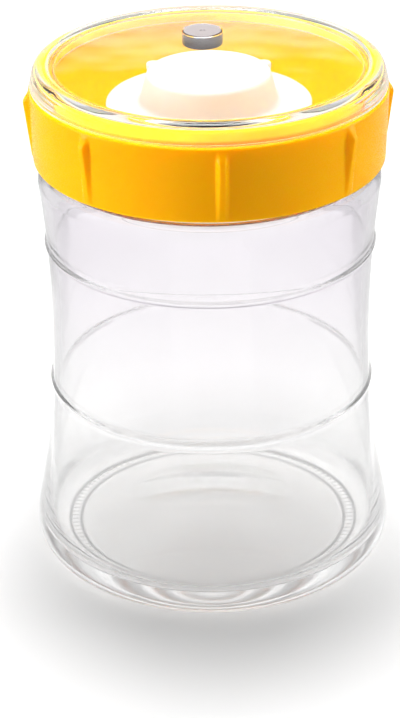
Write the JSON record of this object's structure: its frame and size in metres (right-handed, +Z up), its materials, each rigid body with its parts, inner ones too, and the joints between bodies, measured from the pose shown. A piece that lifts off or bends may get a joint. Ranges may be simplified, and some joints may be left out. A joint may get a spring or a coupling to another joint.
{
  "type": "vegetable fermenting jar",
  "caption": "Waisted clear glass jar with a ribbed yellow screw lid, a white press pump in the lid's bowl, and a clear lift-off cover with a grey vent plug.",
  "frame": {"origin": "centre of the base, on the surface that the jar stands on", "axes": "+Z up the jar's axis, -Y to the front that the picture shows, +X to the right seen from the front"},
  "size_m": [0.1068, 0.1068, 0.1522],
  "materials": {
    "jar_glass": "clear moulded glass",
    "lid_plastic": "satin moulded polypropylene",
    "gasket_silicone": "matt translucent silicone",
    "dome_silicone": "matt white silicone",
    "valve_silicone": "matt silicone",
    "cover_plastic": "clear polished plastic",
    "plug_silicone": "satin grey silicone"
  },
  "bodies": {
    "jar": {"jar": "jar_glass"},
    "lid_gasket": {"lid_gasket": "gasket_silicone"},
    "lid": {"lid": "lid_plastic", "check_valve": "valve_silicone"},
    "pump_dome": {"pump_dome": "dome_silicone"},
    "cover": {"cover": "cover_plastic"},
    "vent_plug": {"vent_plug": "plug_silicone"}
  },
  "joints": [
    {"name": "lid_rise", "type": "slide", "parent": "jar", "child": "lid_gasket", "axis": [0, 0, 1], "range_m": [0, 0.024]},
    {"name": "lid_turn", "type": "hinge", "parent": "lid_gasket", "child": "lid", "pos_m": [0, 0, 0.139], "axis": [0, 0, 1], "range_deg": [0, 360]},
    {"name": "pump_press", "type": "slide", "parent": "lid", "child": "pump_dome", "axis": [0, 0, -1], "range_m": [0, 0.005], "stiffness_N_per_m": 600, "springref_m": -0.001, "deforming": ["pump_dome"]},
    {"name": "cover_lift", "type": "slide", "parent": "lid", "child": "cover", "axis": [0, 0, 1], "range_m": [0, 0.04]},
    {"name": "vent_pull", "type": "slide", "parent": "cover", "child": "vent_plug", "axis": [0, 0, 1], "range_m": [0, 0.015]}
  ],
  "couplings": [
    {"joint": "lid_rise", "follows": "lid_turn", "m_per_rad": 0.0038197}
  ]
}
